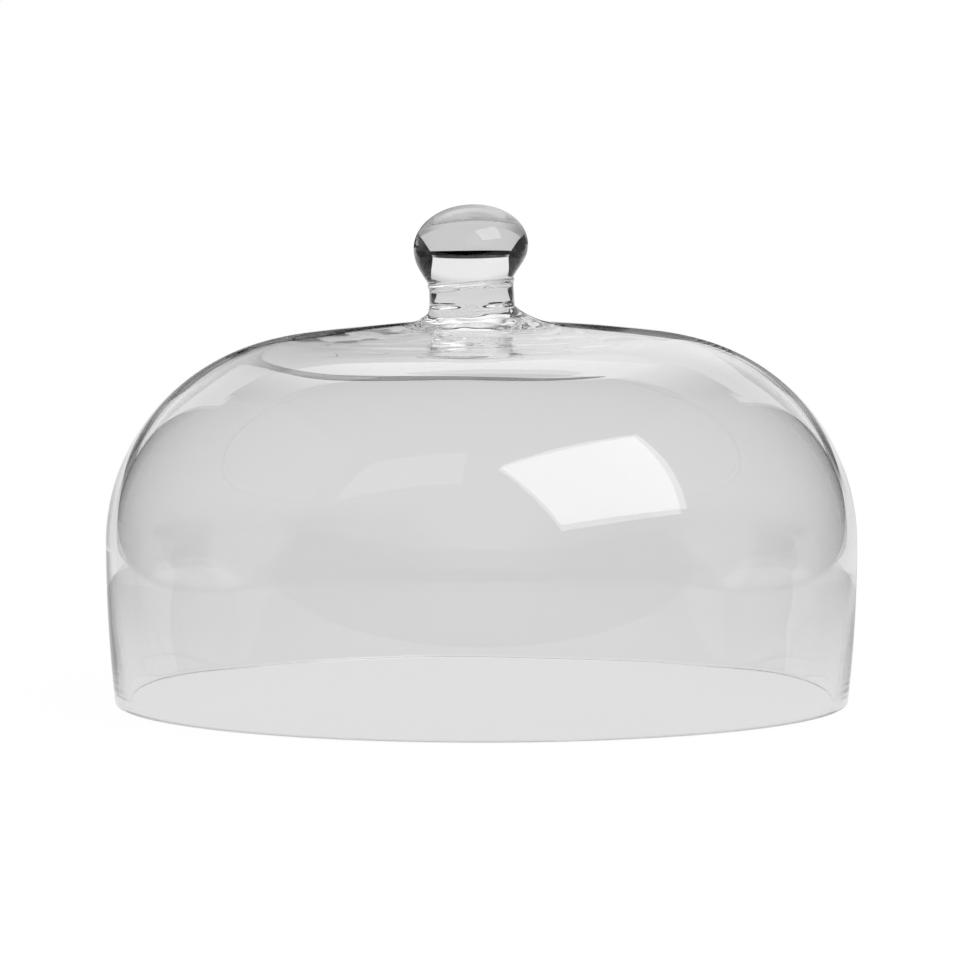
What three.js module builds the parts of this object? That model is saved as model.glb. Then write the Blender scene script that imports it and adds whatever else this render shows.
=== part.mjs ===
// Glass dome with a ball knob, for covering a cake or a cheese.
// Millimetres, +Z up. The origin is the centre of the ground rim, on the surface that the dome stands on.

import * as THREE from 'three';

// Bell, outside
const BODY_RADIUS = 150; // widest radius
const WIDEST_HEIGHT = 64.2; // height of the widest radius above the rim
const RIM_TUCK = 3.6; // how far the rim draws in from the widest radius
const RIM_ROUND = 0.9; // polished edge on both sides of the ground rim
const SHOULDER_RADIUS = 82.3; // arc that turns the wall over into the crown
const CROWN_SLOPE_DEG = 7.3; // slope of the crown where the shoulder ends
const SEAT_SLOPE_DEG = 5.7; // slope of the crown where it meets the flat seat of the knob

// Bell, thickness of the glass. The inside of the shoulder and crown is the outside moved in and down.
const RIM_WALL = 4.8; // at the rim
const BODY_WALL = 3.8; // how far in, which is the wall at the widest radius
const CROWN_WALL = 2.4; // how far down, which is the crown under the knob

// Set of the knob, as the hand left it
const KNOB_OFFSET = 4.3; // how far the stem and ball stand to the left of the bell's axis
const KNOB_TILT_LEFT = 0.06; // slope of the ring and ball, down to the left
const KNOB_TILT_BACK = 0.08; // and down to the back

// Foot of the knob, the gather that welds it to the crown
const SEAT_MARGIN = 1.2; // flat glass left round the foot
const FOOT_RADIUS = 31;
const FOOT_LIP = 0.7; // thickness of the weld at its edge
const FOOT_HEIGHT = 7.2;
const FOOT_BEND_OUT = 2.4; // where the flare bends, out from the stem
const FOOT_BEND_UP = 2.6; // where the flare bends, up from the seat

// Stem and ring
const STEM_BASE_RADIUS = 17.2; // where the stem leaves the foot
const STEM_RADIUS = 16.8; // under the ring
const STEM_HEIGHT = 8.3;
const RING_HEIGHT = 2.2;
const RING_SWELL = 0.35; // how far the ring stands proud of the stem

// Ball
const BALL_RADIUS = 22.8;
const BALL_LOWER_HEIGHT = 13.6; // from the ring up to the widest radius
const BALL_UPPER_HEIGHT = 16.95; // from the widest radius up to the top
const BALL_TAPER = 3.3; // how far the underside opens out before it turns upright
const BALL_WAIST = 5.6; // height over which it does so
const BALL_FULLNESS = 0.565; // 0.55 makes the top an ellipse, and more makes it squarer

// Facets round the axis
const BELL_SIDES = 72;
const KNOB_SIDES = 40;

const radians = THREE.MathUtils.degToRad;
const point = (radius, height) => new THREE.Vector2(radius, height);
const line = (from, to) => new THREE.LineCurve(from, to);
const bend = (from, corner, to) => new THREE.QuadraticBezierCurve(from, corner, to);
const sweep = (from, leaving, arriving, to) => new THREE.CubicBezierCurve(from, leaving, arriving, to);

// Circular arc about a centre, its angles in degrees up from the horizontal.
function arc(centre, radius, fromDeg, toDeg) {
  const { x, y } = centre;
  const clockwise = toDeg < fromDeg;
  return new THREE.EllipseCurve(x, y, radius, radius, radians(fromDeg), radians(toDeg), clockwise);
}

// Point on an arc where it slopes by a given angle from the horizontal.
function pointAtSlope(centre, radius, slopeDeg) {
  const slope = radians(slopeDeg);
  return point(centre.x + radius * Math.sin(slope), centre.y + radius * Math.cos(slope));
}

// Solid of revolution about +Z. Each stretch of its outline is a curve of radius and height with its steps.
// The outline starts and ends on the axis.
function turned(name, stretches, sides, material) {
  const points = [];
  for (const [curve, steps] of stretches) {
    const traced = curve.getPoints(steps);
    points.push(...traced.slice(points.length ? 1 : 0));
  }
  const mesh = new THREE.Mesh(new THREE.LatheGeometry(points, sides).rotateX(Math.PI / 2), material);
  mesh.name = name;
  return mesh;
}

function clearGlass(color, opacity) {
  return new THREE.MeshStandardMaterial({ color, opacity, transparent: true, roughness: 0.03, metalness: 0 });
}

// Height of the crown's flat seat, which the shoulder and the slopes of the crown set.
const shoulderCentre = point(BODY_RADIUS - SHOULDER_RADIUS, WIDEST_HEIGHT);
const crownEdge = pointAtSlope(shoulderCentre, SHOULDER_RADIUS, CROWN_SLOPE_DEG);
const seatRadius = FOOT_RADIUS + SEAT_MARGIN;
const crownRun = crownEdge.x - seatRadius;
const crownBend = point(
  crownEdge.x - crownRun / 2,
  crownEdge.y + (crownRun / 2) * Math.tan(radians(CROWN_SLOPE_DEG)),
);
const seatHeight = crownBend.y + (crownRun / 2) * Math.tan(radians(SEAT_SLOPE_DEG));
const seatEdge = point(seatRadius, seatHeight);

// Open bell. The inside is the outside moved in and down, so that the glass is thickest over the shoulder.
function domeBell() {
  const rimRadius = BODY_RADIUS - RIM_TUCK;
  const rimBore = rimRadius - RIM_WALL;
  const wallMiddle = (RIM_ROUND + WIDEST_HEIGHT) / 2;
  const moved = (from) => point(from.x - BODY_WALL, from.y - CROWN_WALL);
  const insideWidest = moved(point(BODY_RADIUS, WIDEST_HEIGHT));

  const inside = [
    [line(point(0, seatHeight - CROWN_WALL), moved(seatEdge)), 1],
    [bend(moved(seatEdge), moved(crownBend), moved(crownEdge)), 3],
    [arc(moved(shoulderCentre), SHOULDER_RADIUS, 90 - CROWN_SLOPE_DEG, 0), 12],
    [bend(insideWidest, point(insideWidest.x, wallMiddle), point(rimBore, RIM_ROUND)), 5],
  ];
  const rim = [
    [arc(point(rimBore + RIM_ROUND, RIM_ROUND), RIM_ROUND, 180, 270), 3],
    [line(point(rimBore + RIM_ROUND, 0), point(rimRadius - RIM_ROUND, 0)), 1],
    [arc(point(rimRadius - RIM_ROUND, RIM_ROUND), RIM_ROUND, -90, 0), 3],
  ];
  const outside = [
    [bend(point(rimRadius, RIM_ROUND), point(BODY_RADIUS, wallMiddle), point(BODY_RADIUS, WIDEST_HEIGHT)), 5],
    [arc(shoulderCentre, SHOULDER_RADIUS, 0, 90 - CROWN_SLOPE_DEG), 12],
    [bend(crownEdge, crownBend, seatEdge), 3],
    [line(seatEdge, point(0, seatHeight)), 1],
  ];
  return turned('dome_bell', [...inside, ...rim, ...outside], BELL_SIDES, clearGlass(0xdfe1e1, 0.3));
}

// Flared weld, a thin lip on the crown that sweeps up into the stem.
function knobFoot() {
  const lip = point(FOOT_RADIUS, FOOT_LIP);
  const flareBend = point(STEM_BASE_RADIUS + FOOT_BEND_OUT, FOOT_BEND_UP);
  const top = point(STEM_BASE_RADIUS, FOOT_HEIGHT);
  const stretches = [
    [line(point(0, 0), point(FOOT_RADIUS, 0)), 1],
    [line(point(FOOT_RADIUS, 0), lip), 1],
    [bend(lip, flareBend, top), 6],
    [line(top, point(0, FOOT_HEIGHT)), 1],
  ];
  return turned('knob_foot', stretches, KNOB_SIDES, clearGlass(0xd6d8d8, 0.4));
}

// Stem that eases from the foot into an upright side.
function knobNeck() {
  const base = point(STEM_BASE_RADIUS, 0);
  const top = point(STEM_RADIUS, STEM_HEIGHT);
  const stretches = [
    [line(point(0, 0), base), 1],
    [bend(base, point(STEM_RADIUS, STEM_HEIGHT / 3), top), 5],
    [line(top, point(0, STEM_HEIGHT)), 1],
  ];
  return turned('knob_neck', stretches, KNOB_SIDES, clearGlass(0xcfd1d1, 0.4));
}

// Thin band between the stem and the ball, swollen at its edge.
function neckRing() {
  const base = point(STEM_RADIUS, 0);
  const top = point(STEM_RADIUS, RING_HEIGHT);
  const stretches = [
    [line(point(0, 0), base), 1],
    [bend(base, point(STEM_RADIUS + 2 * RING_SWELL, RING_HEIGHT / 2), top), 6],
    [line(top, point(0, RING_HEIGHT)), 1],
  ];
  return turned('neck_ring', stretches, KNOB_SIDES, clearGlass(0xeceeee, 0.4));
}

// Ball that opens out of the ring, with a flattened top.
function knobBall() {
  const base = point(STEM_RADIUS, 0);
  const widest = point(BALL_RADIUS, BALL_LOWER_HEIGHT);
  const top = point(0, BALL_LOWER_HEIGHT + BALL_UPPER_HEIGHT);
  const underside = sweep(
    base,
    point(STEM_RADIUS + BALL_TAPER, BALL_WAIST),
    point(BALL_RADIUS, BALL_LOWER_HEIGHT - BALL_WAIST),
    widest,
  );
  const upper = sweep(
    widest,
    point(BALL_RADIUS, BALL_LOWER_HEIGHT + BALL_FULLNESS * BALL_UPPER_HEIGHT),
    point(BALL_FULLNESS * BALL_RADIUS, top.y),
    top,
  );
  const stretches = [
    [line(point(0, 0), base), 1],
    [underside, 8],
    [upper, 10],
  ];
  return turned('knob_ball', stretches, KNOB_SIDES, clearGlass(0xcccece, 0.4));
}

// Sets a piece of the knob, whose base is at a height above the seat. The foot leans from the bell's axis to
// the stem's, and the tilt grows from nothing at the seat to its full slope under the ring.
function setByHand(geometry, base) {
  const corners = geometry.attributes.position;
  const corner = new THREE.Vector3();
  for (let i = 0; i < corners.count; i += 1) {
    corner.fromBufferAttribute(corners, i);
    const up = base + corner.z;
    const tilt = THREE.MathUtils.smoothstep(up, 0, FOOT_HEIGHT + STEM_HEIGHT);
    corners.setX(i, corner.x - KNOB_OFFSET * Math.min(up / FOOT_HEIGHT, 1));
    corners.setZ(i, corner.z + tilt * (KNOB_TILT_LEFT * corner.x - KNOB_TILT_BACK * corner.y));
  }
}

// The knob's pieces stand on each other, face to face, and the foot stands on the seat.
const knob = new THREE.Group();
knob.position.z = seatHeight;
let height = 0;
for (const [piece, pieceHeight] of [
  [knobFoot(), FOOT_HEIGHT],
  [knobNeck(), STEM_HEIGHT],
  [neckRing(), RING_HEIGHT],
  [knobBall(), BALL_LOWER_HEIGHT + BALL_UPPER_HEIGHT],
]) {
  setByHand(piece.geometry, height);
  piece.position.z = height;
  knob.add(piece);
  height += pieceHeight;
}

const dome = new THREE.Group();
dome.add(domeBell(), knob);

export default dome;
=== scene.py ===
import math

import bpy
from mathutils import Matrix, Vector, noise


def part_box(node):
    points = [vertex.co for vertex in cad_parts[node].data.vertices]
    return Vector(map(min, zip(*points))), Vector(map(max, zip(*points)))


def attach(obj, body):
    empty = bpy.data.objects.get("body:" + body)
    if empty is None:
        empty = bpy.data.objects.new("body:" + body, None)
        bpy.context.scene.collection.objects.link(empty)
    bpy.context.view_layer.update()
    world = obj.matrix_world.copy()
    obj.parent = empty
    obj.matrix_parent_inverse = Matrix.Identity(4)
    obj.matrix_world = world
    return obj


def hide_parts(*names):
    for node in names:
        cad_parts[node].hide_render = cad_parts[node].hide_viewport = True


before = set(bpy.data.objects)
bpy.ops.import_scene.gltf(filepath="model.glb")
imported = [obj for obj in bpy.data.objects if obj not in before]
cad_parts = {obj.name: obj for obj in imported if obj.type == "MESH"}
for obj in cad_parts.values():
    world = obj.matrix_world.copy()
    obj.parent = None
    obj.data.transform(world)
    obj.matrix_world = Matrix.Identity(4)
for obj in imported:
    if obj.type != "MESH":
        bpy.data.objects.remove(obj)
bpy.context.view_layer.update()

MM = 0.001

# Set of the knob, in millimetres, with slopes as height over width
KNOB_OFFSET = 4.3  # how far the stem and ball stand to the left of the bell's axis
KNOB_BOW = 0.4  # bow of the stem, to the right
KNOB_TILT = Vector((0.09, 0.08))  # slope of the ring, down to the left and to the back
BALL_TILT = 0.035  # slope of the ball from its widest radius up, down to the left

# Foot of the knob
FOOT_RADIUS = 31.0
FOOT_HEIGHT = 7.2
FOOT_BEND_OUT = 2.4  # where the flare bends, out from the stem
FOOT_BEND_UP = 2.6  # where the flare bends, up from the seat
FOOT_WAVE = 0.2
FOOT_WAVELENGTH = 6.0
FOOT_WAVE_SQUASH = 2.0  # how much shorter its waves are upwards than across
FOOT_EASE = 1.0  # height over which its waves start and end

# Stem and ring
STEM_BASE_RADIUS = 17.2
STEM_RADIUS = 16.8
STEM_HEIGHT = 8.3
STEM_BEND_UP = STEM_HEIGHT / 3
STEM_SQUARE = 2.5  # 2 is a circle, and more is squarer
STEM_EASE = 1.5  # height over which the stem turns from round to squarer
RING_HEIGHT = 2.2
RING_SWELL = 0.5  # how far the ring stands proud of the stem
RING_BULGE = 0.75  # where the swell bends, as a share of the height
RING_TOP = FOOT_HEIGHT + STEM_HEIGHT + RING_HEIGHT

# Ball
BALL_RADIUS = 22.8
BALL_LOWER_HEIGHT = 13.6
BALL_UPPER_HEIGHT = 16.95
BALL_TAPER = 3.3  # how far the underside opens out before it turns upright
BALL_WAIST = 5.6  # height over which it does so
BALL_FULLNESS = 0.565  # 0.55 makes the top an ellipse, and more makes it squarer

# Bell, outside
BODY_RADIUS = 150.0
WIDEST_HEIGHT = 64.2
RIM_TUCK = 3.6
RIM_ROUND = 0.9
SHOULDER_RADIUS = 82.3
CROWN_SLOPE = math.radians(7.3)
CROWN_TILT = 0.006  # slope of the crown, up to the right
SEAT_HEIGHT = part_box("knob_foot")[0].z / MM

# Bell, thickness. The inside of the shoulder and crown is the outside moved in and down.
RIM_WALL = 4.8
BODY_WALL = 3.8
CROWN_WALL = 2.4

# Heel, a low step on the inside of the crown with a rounded square outline
HEEL_CENTRE = Vector((-8.6, 0.0))
HEEL_HALF = Vector((90.0, 101.5))
HEEL_POWER = 2.4
HEEL_SHEAR = 0.095
HEEL_STEP = 0.2
HEEL_WIDTH = 4.0
HEEL_ENDS = (0.55, 0.95)  # shares of its half width between which the ends soften
HEEL_END_LOSS = 0.3  # share of the step that is lost at the ends
HEEL_END_SPREAD = 0.8  # share by which the step is wider there

# Waves of the bell's surfaces
RIM_CALM = (2.0, 30.0)  # heights between which the waves start
WALL_WAVE = 0.15
WALL_WAVELENGTH = 60.0
SKIN_WAVE = 0.05
SKIN_SHIFT = 500.0  # takes the outside's waves from another part of the noise than the inside's
SWIRL_WAVE = 0.16
SWIRL_WAVELENGTH = 7.0
SWIRL_TURN = 0.012  # radians for each millimetre outwards
SWIRL_ROUND = 3.0  # how fast the swirl changes round the axis
SWIRL_EDGE = (104.0, 80.0)  # radii between which the swirl starts, from the outside in
SWIRL_FRONT = (0.1, 0.7)  # shares of the way to the front between which it starts
SKIN_EASE = 8.0  # how far from the foot the outside's waves are full
CEILING_WAVE = 0.12
CEILING_WAVELENGTH = 9.0
CEILING_SHIFT = 900.0  # another part of the noise again
CEILING_RADIUS = FOOT_RADIUS - BODY_WALL
CEILING_MIDDLE = 4.0  # radius from which the ceiling's waves are full
CEILING_EASE = 6.0  # how far inside its edge they are full

# Faces round the axis
BELL_SIDES = 256
KNOB_SIDES = 128
FLOOR_SIDES = 96

# Steps along the outlines
CEILING_STEPS = 36
CROWN_STEPS = 50
SHOULDER_STEPS = 70
WALL_STEPS = 48
RIM_STEPS = 5
RIM_FLAT_STEPS = 3
JOINT_STEPS = 2
FOOT_STEPS = 40
STEM_STEPS = 40
RING_STEPS = 16
BALL_LOWER_STEPS = 28
BALL_UPPER_STEPS = 40
SHEET_STEPS = 24
ON_AXIS = 1e-6  # radius below which a point counts as on the axis

# Glass: heights in metres that the tint runs between, and its stops from the bottom up
REFRACTION = 1.5
BELL_TINT_HEIGHTS = (0.0, 0.15)
BELL_TINT = ((0.0, 0.965), (0.5, 0.972), (1.0, 0.968))
KNOB_TINT_HEIGHTS = (0.152, 0.172)
KNOB_TINT = ((0.0, 0.95), (0.4, 0.90), (0.8, 0.86), (1.0, 0.815))

# Clouds in the glass: scale and detail of each noise, and how far it takes the tint, the roughness
# or the surface
NOISE_SPAN = (0.3, 0.7)
TINT_CLOUD = (25.0, 3.0)
TINT_SHIFT = 0.06
POLISH_CLOUD = (60.0, 2.0)
POLISH_ROUGH = 0.012
POLISH_RIPPLE = (30.0, 1.0)
POLISH_WAVE = 0.00003

# Shooting table, in metres, as places of depth and height. A white sheet runs flat, bends up behind the
# dome and leans over it, with the dark bar of its frame across the bend and a nearer dark stay.
TABLE_HALF = 0.55
TABLE_EDGE = 0.03
TABLE_FRONT = -0.33
SHEET_FLAT_END = (0.42, 0.0)
SHEET_BEND = ((0.58, 0.0), (0.74, 0.07))
BAR_FOOT = (0.88, 0.131)
BAR_HEAD = (0.953, 0.215)
SHEET_LEAN = (0.93, 0.36)
SHEET_TOP = (0.53, 0.587)
SHINE_START = 0.245  # height above which the leaning sheet shines in reflections
TOP_LIGHT = ((0.5, 0.526), (0.32, 0.65))
TOP_LIGHT_HALF = 0.45
STAY = ((0.35, 0.158), (0.35, 0.18))
STAY_HALF = 0.21

# Glow of the table's parts, as fades: the axis, where the fade starts and ends, and the levels there
FLAT_GLOW = ("X", 0.12, 0.4, 0.78, 0.42)
FLAT_SIDES = ("X", TABLE_HALF - TABLE_EDGE, TABLE_HALF + TABLE_EDGE, 1.0, 0.0)
SIDE_GLOW = (("Y", 0.17, 0.27, 0.55, 0.0), ("X", 0.52, 0.64, 0.0, 1.0))
BEND_GLOW = ("X", 0.3, 0.55, 0.78, 0.74)
BAR_GLOW = ("X", 0.42, 0.55, 0.05, 0.5)
BACK_GLOW = ("Z", 0.42, 0.55, 1.05, 0.75)
GLINT_GLOW = ("X", 0.2, 0.35, 0.0, 0.45)
SHINE_GLOW = (("side", -0.12, 0.12, -0.3, 0.35), ("X", 0.2, 0.38, 1.0, 0.0))
SHINE_LEVEL = 0.45
TOP_GLOW = ("X", 0.1, TOP_LIGHT_HALF, 1.15, 0.0)

# Rest of the studio
FLOOR_RADIUS = 30.0
FLOOR_HEIGHT = -0.0002
FLOOR_GLOW_SHARE = 0.97
STUDIO_SIDE = 2.6
STUDIO_FRONT = -1.5
STUDIO_BACK = 3.5
STUDIO_TOP = 4.0
STUDIO_GREY = 0.005
APRON_HEIGHT = 0.001
HAZE = 0.15
HAZE_SIDE = 0.95 * STUDIO_SIDE
FILL_CENTRE = (-0.43, -0.66, 1.06)
FILL_HALF = 0.35
FILL_LEVEL = 0.9
SOFT_BOX_CENTRE = (0.507, -0.55, 0.72)
SOFT_BOX_ACROSS = (0.66, 0.75, 0.0)
SOFT_BOX_ALONG = (-0.52, 0.46, 0.70)
SOFT_BOX_SIZE = (0.75, 0.67)
SOFT_BOX_RADIANCE = 3.0

# Camera and bounces of light
CAMERA_PLACE = (0.0, -5.0, 0.552)
CAMERA_AIM = (-0.00064, 0.0, 0.0891)
CAMERA_LENS = 471.8
CAMERA_REACH = 100.0
GLASS_BOUNCES = 128
JOINT_BOUNCES = 32

# Surfaces of a piece, as material slots
GLASS, JOINT = 0, 1


# Outlines
def smooth_step(low, high, value):
    t = min(1.0, max(0.0, (value - low) / (high - low)))
    return t * t * (3.0 - 2.0 * t)


def arc(centre, radius, start, end, steps):
    angles = [math.radians(start + (end - start) * i / steps) for i in range(steps + 1)]
    return [(centre[0] + radius * math.cos(a), centre[1] + radius * math.sin(a)) for a in angles]


def blend(weights, points):
    return tuple(sum(w * p[c] for w, p in zip(weights, points)) for c in (0, 1))


def bend(start, corner, end, steps):
    points = []
    for i in range(steps + 1):
        t = i / steps
        weights = ((1 - t) ** 2, 2 * t * (1 - t), t * t)
        points.append(blend(weights, (start, corner, end)))
    return points


def sweep(start, leaving, arriving, end, steps):
    points = []
    for i in range(steps + 1):
        t = i / steps
        weights = ((1 - t) ** 3, 3 * t * (1 - t) ** 2, 3 * t * t * (1 - t), t ** 3)
        points.append(blend(weights, (start, leaving, arriving, end)))
    return points


def line(start, end, steps):
    return bend(start, ((start[0] + end[0]) / 2, (start[1] + end[1]) / 2), end, steps)


def at_slope(centre, radius, slope):
    return (centre[0] + radius * math.sin(slope), centre[1] + radius * math.cos(slope))


def around(radius, angle):
    return radius * math.cos(angle), radius * math.sin(angle)


# Turned pieces
def new_object(name, data):
    obj = bpy.data.objects.new(name, data)
    bpy.context.collection.objects.link(obj)
    return obj


# One outline from stretches that share their ends, with a ripple for each point and a surface for each step
def joined(stretches):
    outline, ripples, surfaces = [], [], []
    for points, surface, ripple in stretches:
        kept = points[1:] if outline else points
        outline.extend(kept)
        ripples.extend([ripple] * len(kept))
        surfaces.extend([surface] * (len(points) - 1))
    return outline, ripples, surfaces


# Direction out of the glass at a point of an outline
def outward(outline, k):
    before = outline[max(k - 1, 0)]
    after = outline[min(k + 1, len(outline) - 1)]
    along = Vector((after[0] - before[0], after[1] - before[1])).normalized()
    return along.y, -along.x


# Faces between two rings of vertex numbers, of which one on the axis has a single number
def band(lower, upper, sides):
    faces = []
    for i in range(sides):
        j = (i + 1) % sides
        if len(lower) == 1:
            faces.append((lower[0], upper[j], upper[i]))
        elif len(upper) == 1:
            faces.append((lower[i], lower[j], upper[0]))
        else:
            faces.append((lower[i], lower[j], upper[j], upper[i]))
    return faces


# Turns an outline of radius and height round +Z. Each stretch is (points, surface, ripple): ripple gives
# how far a point moves out of the glass, or is None, and place moves the result.
def turned(name, stretches, sides, place, materials):
    outline, ripples, surfaces = joined(stretches)
    vertices, rings = [], []
    for k, (radius, height) in enumerate(outline):
        count = 1 if radius < ON_AXIS else sides
        rings.append(range(len(vertices), len(vertices) + count))
        if count == 1:
            vertices.append(place(0.0, height, 0.0))
            continue
        out, up = outward(outline, k)
        for i in range(sides):
            angle = 2 * math.pi * i / sides
            lift = ripples[k](radius, height, angle) if ripples[k] else 0.0
            vertices.append(place(radius + out * lift, height + up * lift, angle))
    faces, slots = [], []
    for lower, upper, surface in zip(rings, rings[1:], surfaces):
        faces.extend(band(lower, upper, sides))
        slots.extend([surface] * sides)
    mesh = bpy.data.meshes.new(name)
    mesh.from_pydata([v * MM for v in vertices], [], faces)
    for material in materials:
        mesh.materials.append(material)
    mesh.polygons.foreach_set("material_index", slots)
    mesh.polygons.foreach_set("use_smooth", [slot == GLASS for slot in slots])
    mesh.update()
    return new_object(name, mesh)


def joint_face(start, end):
    return line(start, end, JOINT_STEPS), JOINT, None


# Materials
def node_tree(name):
    material = bpy.data.materials.new(name)
    material.use_nodes = True
    return material, material.node_tree.nodes, material.node_tree.links


def bare_tree(name):
    material, nodes, links = node_tree(name)
    nodes.remove(nodes["Principled BSDF"])
    return material, nodes, links


def to_surface(nodes, links, shader):
    links.new(shader.outputs[0], nodes["Material Output"].inputs["Surface"])


def noise_node(nodes, links, place, scale, detail):
    node = nodes.new("ShaderNodeTexNoise")
    node.inputs["Scale"].default_value = scale
    node.inputs["Detail"].default_value = detail
    links.new(place.outputs["Object"], node.inputs["Vector"])
    return node.outputs["Fac"]


def map_range(nodes, links, value, numbers, interpolation="LINEAR"):
    node = nodes.new("ShaderNodeMapRange")
    node.interpolation_type = interpolation
    for name, number in zip(("From Min", "From Max", "To Min", "To Max"), numbers):
        node.inputs[name].default_value = number
    links.new(value, node.inputs["Value"])
    return node.outputs[0]


def math_node(nodes, links, operation, *values):
    node = nodes.new("ShaderNodeMath")
    node.operation = operation
    for socket, value in zip(node.inputs, values):
        if isinstance(value, float):
            socket.default_value = value
        else:
            links.new(value, socket)
    return node.outputs[0]


def highest(nodes, links, first, *others):
    for other in others:
        first = math_node(nodes, links, "MAXIMUM", first, other)
    return first


def tint_ramp(nodes, links, share, stops):
    ramp = nodes.new("ShaderNodeValToRGB")
    elements = ramp.color_ramp.elements
    while len(elements) < len(stops):
        elements.new(0.5)
    for element, (position, grey) in zip(elements, stops):
        element.position = position
        element.color = (grey, grey, grey, 1.0)
    links.new(share, ramp.inputs["Fac"])
    return ramp.outputs["Color"]


# Clear glass. Its tint follows the stops from the low height to the high one, and it is broken up by clouds.
# The fire polish leaves faint waves and a finish that is nearly perfect.
def glass(name, heights, stops):
    material, nodes, links = node_tree(name)
    shader = nodes["Principled BSDF"]
    shader.inputs["Transmission Weight"].default_value = 1.0
    shader.inputs["IOR"].default_value = REFRACTION
    place = nodes.new("ShaderNodeTexCoord")
    split = nodes.new("ShaderNodeSeparateXYZ")
    links.new(place.outputs["Object"], split.inputs[0])
    share = map_range(nodes, links, split.outputs["Z"], (*heights, 0.0, 1.0))
    cloud = noise_node(nodes, links, place, *TINT_CLOUD)
    shift = map_range(nodes, links, cloud, (*NOISE_SPAN, -TINT_SHIFT, TINT_SHIFT))
    shifted = math_node(nodes, links, "ADD", share, shift)
    links.new(tint_ramp(nodes, links, shifted, stops), shader.inputs["Base Color"])
    haze = noise_node(nodes, links, place, *POLISH_CLOUD)
    rough = map_range(nodes, links, haze, (*NOISE_SPAN, 0.0, POLISH_ROUGH))
    links.new(rough, shader.inputs["Roughness"])
    waves = nodes.new("ShaderNodeBump")
    waves.inputs["Strength"].default_value = 1.0
    waves.inputs["Distance"].default_value = POLISH_WAVE
    links.new(noise_node(nodes, links, place, *POLISH_RIPPLE), waves.inputs["Height"])
    links.new(waves.outputs["Normal"], shader.inputs["Normal"])
    return material


# Where two gathers are fused, the glass runs on and light passes straight through
def fused_joint():
    material, nodes, links = bare_tree("fused_joint")
    to_surface(nodes, links, nodes.new("ShaderNodeBsdfTransparent"))
    return material


bell_glass = glass("bell_glass", BELL_TINT_HEIGHTS, BELL_TINT)
knob_glass = glass("knob_glass", KNOB_TINT_HEIGHTS, KNOB_TINT)
joint = fused_joint()


# Bell
shoulder_centre = (BODY_RADIUS - SHOULDER_RADIUS, WIDEST_HEIGHT)
crown_edge = at_slope(shoulder_centre, SHOULDER_RADIUS, CROWN_SLOPE)


# The tilt of the crown grows over the shoulder and is gone at the foot
def bell_place(radius, height, angle):
    x, y = around(radius, angle)
    if height > WIDEST_HEIGHT:
        tilt = smooth_step(WIDEST_HEIGHT, crown_edge[1], height)
        tilt *= smooth_step(FOOT_RADIUS, 2 * FOOT_RADIUS, radius)
        height += CROWN_TILT * tilt * x
    return Vector((x, y, height))


def off_rim(height):
    return smooth_step(*RIM_CALM, height)


def heel_step(x, y):
    across = abs(x - HEEL_CENTRE.x) / HEEL_HALF.x
    deep = abs(y - HEEL_CENTRE.y + HEEL_SHEAR * x) / HEEL_HALF.y
    inside = (1.0 - (across ** HEEL_POWER + deep ** HEEL_POWER) ** (1 / HEEL_POWER)) * HEEL_HALF.x
    end = smooth_step(*HEEL_ENDS, across)
    width = HEEL_WIDTH * (1.0 + HEEL_END_SPREAD * end)
    return HEEL_STEP * (1.0 - HEEL_END_LOSS * end) * smooth_step(0.0, width, inside)


def wall_wave(radius, height, angle):
    x, y = around(radius, angle)
    wave = WALL_WAVE * off_rim(height) * noise.noise(Vector((x, y, height)) / WALL_WAVELENGTH)
    return wave + (heel_step(x, y) if height > WIDEST_HEIGHT else 0.0)


def ceiling_wave(radius, height, angle):
    x, y = around(radius, angle)
    wave = noise.noise(Vector((x, y, CEILING_SHIFT)) / CEILING_WAVELENGTH)
    middle = smooth_step(0.0, CEILING_MIDDLE, radius)
    edge = smooth_step(CEILING_RADIUS, CEILING_RADIUS - CEILING_EASE, radius)
    return CEILING_WAVE * wave * (middle * edge)


# Slow waves all over, and a swirl on the front of the crown
def skin_wave(radius, height, angle):
    x, y = around(radius, angle)
    wave = SKIN_WAVE * noise.noise(Vector((x, y, height + SKIN_SHIFT)) / WALL_WAVELENGTH)
    turn = angle + radius * SWIRL_TURN
    swirl = noise.noise(Vector((radius / SWIRL_WAVELENGTH, *around(SWIRL_ROUND, turn))))
    front = smooth_step(*SWIRL_EDGE, radius) * smooth_step(*SWIRL_FRONT, -math.sin(angle))
    off_foot = smooth_step(FOOT_RADIUS, FOOT_RADIUS + SKIN_EASE, radius)
    return (wave + SWIRL_WAVE * swirl * front) * off_rim(height) * off_foot


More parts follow.
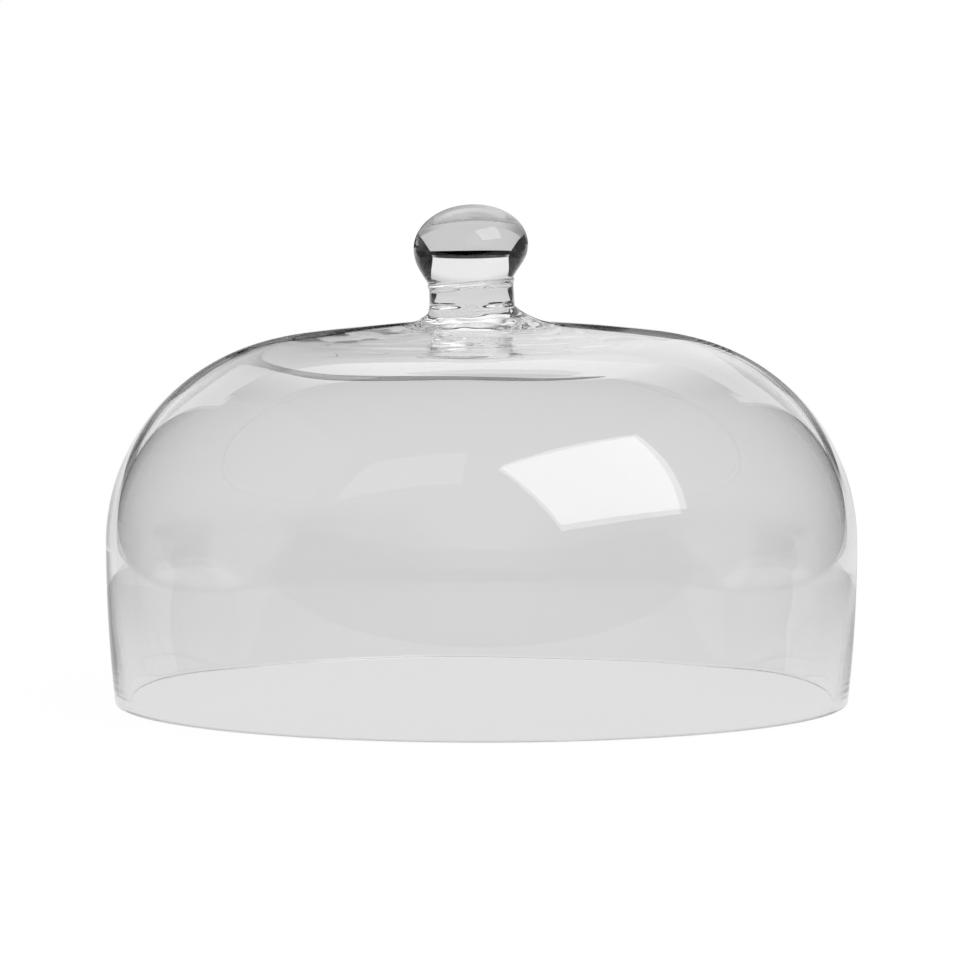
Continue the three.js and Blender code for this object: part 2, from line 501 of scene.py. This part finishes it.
def make_bell():
    rim_radius = BODY_RADIUS - RIM_TUCK
    rim_bore = rim_radius - RIM_WALL
    wall_middle = (RIM_ROUND + WIDEST_HEIGHT) / 2
    inner_bend = (BODY_RADIUS - BODY_WALL, wall_middle)
    outer_bend = (BODY_RADIUS, wall_middle)
    widest = (BODY_RADIUS, WIDEST_HEIGHT)
    seat_edge = (FOOT_RADIUS, SEAT_HEIGHT)
    half_run = (crown_edge[0] - FOOT_RADIUS) / 2
    crown_bend = (crown_edge[0] - half_run, crown_edge[1] + half_run * math.tan(CROWN_SLOPE))
    shoulder_end = 90 - math.degrees(CROWN_SLOPE)
    shoulder = arc(shoulder_centre, SHOULDER_RADIUS, 0, shoulder_end, SHOULDER_STEPS)
    crown = bend(crown_edge, crown_bend, seat_edge, CROWN_STEPS)
    under = [(r - BODY_WALL, z - CROWN_WALL) for r, z in reversed(shoulder + crown[1:])]
    ceiling = (0.0, under[0][1])
    inside = [
        (line(ceiling, under[0], CEILING_STEPS), GLASS, ceiling_wave),
        (under, GLASS, wall_wave),
        (bend(under[-1], inner_bend, (rim_bore, RIM_ROUND), WALL_STEPS), GLASS, wall_wave),
    ]
    inner_edge = (rim_bore + RIM_ROUND, RIM_ROUND)
    outer_edge = (rim_radius - RIM_ROUND, RIM_ROUND)
    rim = [
        (arc(inner_edge, RIM_ROUND, 180, 270, RIM_STEPS), GLASS, None),
        (line((inner_edge[0], 0.0), (outer_edge[0], 0.0), RIM_FLAT_STEPS), GLASS, None),
        (arc(outer_edge, RIM_ROUND, -90, 0, RIM_STEPS), GLASS, None),
    ]
    outside = [
        (bend((rim_radius, RIM_ROUND), outer_bend, widest, WALL_STEPS), GLASS, skin_wave),
        (shoulder, GLASS, skin_wave),
        (crown, GLASS, skin_wave),
        joint_face(seat_edge, (0.0, SEAT_HEIGHT)),
    ]
    return turned("bell", inside + rim + outside, BELL_SIDES, bell_place, [bell_glass, joint])


# Knob, each piece given by the height of its base and an outline above it. The foot stands on the bell's
# axis and leans over to the side, and the stem, ring and ball follow a slight bow.
def knob_piece(name, base, stretches):
    def place(radius, height, angle):
        up = base + height - SEAT_HEIGHT
        bow = KNOB_BOW * math.sin(math.pi * min(1.0, up / RING_TOP))
        axis = -KNOB_OFFSET * min(1.0, up / FOOT_HEIGHT) + bow
        x, y = around(radius, angle)
        lean = smooth_step(0.0, RING_TOP, up)
        on_ball = smooth_step(RING_TOP, RING_TOP + BALL_LOWER_HEIGHT, up)
        side = KNOB_TILT.x + (BALL_TILT - KNOB_TILT.x) * on_ball
        return Vector((axis + x, y, base + height + lean * (side * x - KNOB_TILT.y * y)))

    return turned(name, stretches, KNOB_SIDES, place, [knob_glass, joint])


def foot_wave(radius, height, angle):
    x, y = around(radius, angle)
    middle = smooth_step(0.0, FOOT_EASE, height)
    middle *= smooth_step(FOOT_HEIGHT, FOOT_HEIGHT - FOOT_EASE, height)
    wave = noise.noise(Vector((x, y, FOOT_WAVE_SQUASH * height)) / FOOT_WAVELENGTH)
    return FOOT_WAVE * middle * wave


def make_foot(base):
    edge, top = (FOOT_RADIUS, 0.0), (STEM_BASE_RADIUS, FOOT_HEIGHT)
    flare_bend = (STEM_BASE_RADIUS + FOOT_BEND_OUT, FOOT_BEND_UP)
    return knob_piece("foot", base, [
        joint_face((0.0, 0.0), edge),
        (bend(edge, flare_bend, top, FOOT_STEPS), GLASS, foot_wave),
        joint_face(top, (0.0, FOOT_HEIGHT)),
    ])


# Squarer than a circle at mid height, as tongs leave it
def neck_wave(radius, height, angle):
    across, deep = abs(math.cos(angle)), abs(math.sin(angle))
    square = (across ** STEM_SQUARE + deep ** STEM_SQUARE) ** (-1.0 / STEM_SQUARE)
    middle = smooth_step(0.0, STEM_EASE, height)
    middle *= smooth_step(STEM_HEIGHT, STEM_HEIGHT - STEM_EASE, height)
    return radius * (square - 1.0) * middle


def make_neck(base):
    bottom, top = (STEM_BASE_RADIUS, 0.0), (STEM_RADIUS, STEM_HEIGHT)
    return knob_piece("neck", base, [
        joint_face((0.0, 0.0), bottom),
        (bend(bottom, (STEM_RADIUS, STEM_BEND_UP), top, STEM_STEPS), GLASS, neck_wave),
        joint_face(top, (0.0, STEM_HEIGHT)),
    ])


def make_ring(base):
    bottom, top = (STEM_RADIUS, 0.0), (STEM_RADIUS, RING_HEIGHT)
    swell = (STEM_RADIUS + 2 * RING_SWELL, RING_BULGE * RING_HEIGHT)
    return knob_piece("ring", base, [
        joint_face((0.0, 0.0), bottom),
        (bend(bottom, swell, top, RING_STEPS), GLASS, None),
        joint_face(top, (0.0, RING_HEIGHT)),
    ])


def make_ball(base):
    bottom, widest = (STEM_RADIUS, 0.0), (BALL_RADIUS, BALL_LOWER_HEIGHT)
    top = BALL_LOWER_HEIGHT + BALL_UPPER_HEIGHT
    under = sweep(
        bottom,
        (STEM_RADIUS + BALL_TAPER, BALL_WAIST),
        (BALL_RADIUS, BALL_LOWER_HEIGHT - BALL_WAIST),
        widest,
        BALL_LOWER_STEPS,
    )
    over = sweep(
        widest,
        (BALL_RADIUS, BALL_LOWER_HEIGHT + BALL_FULLNESS * BALL_UPPER_HEIGHT),
        (BALL_FULLNESS * BALL_RADIUS, top),
        (0.0, top),
        BALL_UPPER_STEPS,
    )
    return knob_piece("ball", base, [
        joint_face((0.0, 0.0), bottom),
        (under, GLASS, None),
        (over, GLASS, None),
    ])


# The knob's pieces stand on each other, and the foot stands on the seat
pieces = {"dome_bell": (make_bell(), "bell_glass")}
base = SEAT_HEIGHT
for node, maker, tall in (
    ("knob_foot", make_foot, FOOT_HEIGHT),
    ("knob_neck", make_neck, STEM_HEIGHT),
    ("neck_ring", make_ring, RING_HEIGHT),
    ("knob_ball", make_ball, BALL_LOWER_HEIGHT + BALL_UPPER_HEIGHT),
):
    pieces[node] = (maker(base), "knob_glass")
    base += tall

for node, (piece, slot) in pieces.items():
    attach(piece, "root")
    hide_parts(node)


# Glow of the studio

# Level of a glow, as the product of its fades on top of a base. X, Y and Z are the same on both sides of the
# middle, and side is X from the left to the right.
def fading(nodes, links, fades, base=0.0):
    place = nodes.new("ShaderNodeTexCoord")
    split = nodes.new("ShaderNodeSeparateXYZ")
    links.new(place.outputs["Object"], split.inputs[0])
    level = 1.0
    for axis, *numbers in fades:
        if axis == "side":
            along = split.outputs["X"]
        else:
            along = math_node(nodes, links, "ABSOLUTE", split.outputs[axis])
        fade = map_range(nodes, links, along, numbers, "SMOOTHSTEP")
        level = math_node(nodes, links, "MULTIPLY", level, fade)
    return math_node(nodes, links, "ADD", level, base)


# Surface that only glows, at one level or with fades on top of it
def glow(name, level, fades=()):
    material, nodes, links = bare_tree(name)
    shader = nodes.new("ShaderNodeEmission")
    if fades:
        links.new(fading(nodes, links, fades, level), shader.inputs["Strength"])
    else:
        shader.inputs["Strength"].default_value = level
    to_surface(nodes, links, shader)
    return material


# White paper for the camera. The glass sees the glow of the table's flat on it, and a haze in reflections.
def floor_paper():
    material, nodes, links = bare_tree("floor_paper")
    paper = nodes.new("ShaderNodeBsdfDiffuse")
    paper.inputs["Color"].default_value = (1.0, 1.0, 1.0, 1.0)
    shine = nodes.new("ShaderNodeEmission")
    path = nodes.new("ShaderNodeLightPath")
    by_camera = path.outputs["Is Camera Ray"]
    by_gloss = path.outputs["Is Glossy Ray"]
    through_glass = path.outputs["Is Transmission Ray"]
    flat = fading(nodes, links, (FLAT_GLOW, FLAT_SIDES))
    sides = fading(nodes, links, SIDE_GLOW)
    mirrored = math_node(nodes, links, "SUBTRACT", by_gloss, through_glass)
    haze = math_node(nodes, links, "MULTIPLY", mirrored, HAZE)
    links.new(highest(nodes, links, flat, sides, haze, by_camera), shine.inputs["Strength"])
    seen = highest(nodes, links, by_camera, by_gloss, through_glass)
    mix = nodes.new("ShaderNodeMixShader")
    links.new(math_node(nodes, links, "MULTIPLY", seen, FLOOR_GLOW_SHARE), mix.inputs[0])
    links.new(paper.outputs[0], mix.inputs[1])
    links.new(shine.outputs[0], mix.inputs[2])
    to_surface(nodes, links, mix)
    return material


def studio_black():
    material, nodes, links = bare_tree("studio_black")
    black = nodes.new("ShaderNodeBsdfDiffuse")
    black.inputs["Color"].default_value = (STUDIO_GREY, STUDIO_GREY, STUDIO_GREY, 1.0)
    to_surface(nodes, links, black)
    return material


# Studio
def make_floor():
    mesh = bpy.data.meshes.new("floor")
    turns = [2 * math.pi * i / FLOOR_SIDES for i in range(FLOOR_SIDES)]
    ring = [(*around(FLOOR_RADIUS, turn), FLOOR_HEIGHT) for turn in turns]
    mesh.from_pydata(ring, [], [tuple(range(FLOOR_SIDES))])
    mesh.materials.append(floor_paper())
    obj = new_object("floor", mesh)


def upright(start, end, low, high):
    return [(*start, low), (*end, low), (*end, high), (*start, high)]


def level_sheet(half, front, back, height):
    return [(-half, front, height), (half, front, height), (half, back, height), (-half, back, height)]


# Panels that only the glass sees
def panel_object(name, panels, material):
    mesh = bpy.data.meshes.new(name)
    points, faces = [], []
    for corners in panels:
        faces.append(tuple(range(len(points), len(points) + len(corners))))
        points.extend(corners)
    mesh.from_pydata(points, [], faces)
    mesh.materials.append(material)
    obj = new_object(name, mesh)
    obj.visible_camera = False
    obj.visible_diffuse = False
    obj.visible_shadow = False
    return obj


def side_walls(side):
    return [upright((x, STUDIO_FRONT), (x, STUDIO_BACK), 0.0, STUDIO_TOP) for x in (-side, side)]


def make_dark_studio():
    black = studio_black()
    end_walls = [
        upright((-STUDIO_SIDE, y), (STUDIO_SIDE, y), 0.0, STUDIO_TOP) for y in (STUDIO_FRONT, STUDIO_BACK)
    ]
    roof = level_sheet(STUDIO_SIDE, STUDIO_FRONT, STUDIO_BACK, STUDIO_TOP)
    panel_object("dark_studio", [*side_walls(STUDIO_SIDE), *end_walls, roof], black)
    haze = panel_object("side_haze", side_walls(HAZE_SIDE), glow("studio_haze", HAZE))
    haze.visible_transmission = False
    apron = level_sheet(STUDIO_SIDE, STUDIO_FRONT, TABLE_FRONT, APRON_HEIGHT)
    panel_object("front_apron", [apron], black).visible_transmission = False


# Glowing strip across the set, along a profile of depth and height. Without fades it is dark.
def sheet(name, profile, half, *fades, level=0.0):
    strips = []
    for (y0, z0), (y1, z1) in zip(profile, profile[1:]):
        strips.append([(-half, y0, z0), (half, y0, z0), (half, y1, z1), (-half, y1, z1)])
    return panel_object(name, strips, glow(name, level, fades))


# The leaning sheet has two glows, one seen through the glass and one in reflections
def make_shooting_table():
    rise = sweep(SHEET_FLAT_END, *SHEET_BEND, BAR_FOOT, SHEET_STEPS)
    sheet("sheet_bend", rise, TABLE_HALF, BEND_GLOW)
    sheet("frame_bar", [BAR_FOOT, BAR_HEAD], TABLE_HALF, BAR_GLOW)
    sheet("frame_stay", STAY, STAY_HALF)
    back = bend(BAR_HEAD, SHEET_LEAN, SHEET_TOP, SHEET_STEPS)
    sheet("sheet_back", back, TABLE_HALF, BACK_GLOW).visible_glossy = False
    seam = next(i for i, (depth, height) in enumerate(back) if height > SHINE_START)
    glint = sheet("sheet_glint", back[:seam + 1], TABLE_HALF, GLINT_GLOW)
    shine = sheet("sheet_shine", back[seam:], TABLE_HALF, *SHINE_GLOW, level=SHINE_LEVEL)
    for mirrored in (glint, shine):
        mirrored.visible_transmission = False
    sheet("top_light", TOP_LIGHT, TOP_LIGHT_HALF, TOP_GLOW)


# Card at the front left, seen only through the glass
def make_fill_card():
    x, y, z = FILL_CENTRE
    card = upright((x - FILL_HALF, y), (x + FILL_HALF, y), z - FILL_HALF, z + FILL_HALF)
    panel_object("fill_card", [card], glow("fill_card", FILL_LEVEL)).visible_glossy = False


# Lamp at the front right
def make_soft_box():
    width, depth = SOFT_BOX_SIZE
    lamp = bpy.data.lights.new("front_soft_box", "AREA")
    lamp.shape = "RECTANGLE"
    lamp.size = width
    lamp.size_y = depth
    lamp.energy = math.pi * width * depth * SOFT_BOX_RADIANCE
    obj = new_object("front_soft_box", lamp)
    x_axis = Vector(SOFT_BOX_ACROSS).normalized()
    y_axis = Vector(SOFT_BOX_ALONG)
    y_axis = (y_axis - x_axis * y_axis.dot(x_axis)).normalized()
    turn = Matrix((x_axis, y_axis, x_axis.cross(y_axis))).transposed().to_4x4()
    obj.matrix_world = Matrix.Translation(SOFT_BOX_CENTRE) @ turn
    obj.visible_camera = False


def make_world():
    world = bpy.data.worlds.new("studio")
    bpy.context.scene.world = world
    world.use_nodes = True
    background = world.node_tree.nodes["Background"]
    background.inputs["Color"].default_value = (1.0, 1.0, 1.0, 1.0)
    background.inputs["Strength"].default_value = 1.0


def make_camera():
    camera = bpy.data.cameras.new("camera")
    camera.lens = CAMERA_LENS
    camera.clip_end = CAMERA_REACH
    obj = new_object("camera", camera)
    obj.location = CAMERA_PLACE
    obj.rotation_euler = (Vector(CAMERA_AIM) - obj.location).to_track_quat("-Z", "Y").to_euler()
    bpy.context.scene.camera = obj


make_floor()
make_dark_studio()
make_world()
make_camera()
make_soft_box()
make_shooting_table()
make_fill_card()

scene = bpy.context.scene
scene.view_settings.view_transform = "Standard"
scene.cycles.max_bounces = GLASS_BOUNCES
scene.cycles.transmission_bounces = GLASS_BOUNCES
scene.cycles.glossy_bounces = GLASS_BOUNCES
scene.cycles.transparent_max_bounces = JOINT_BOUNCES
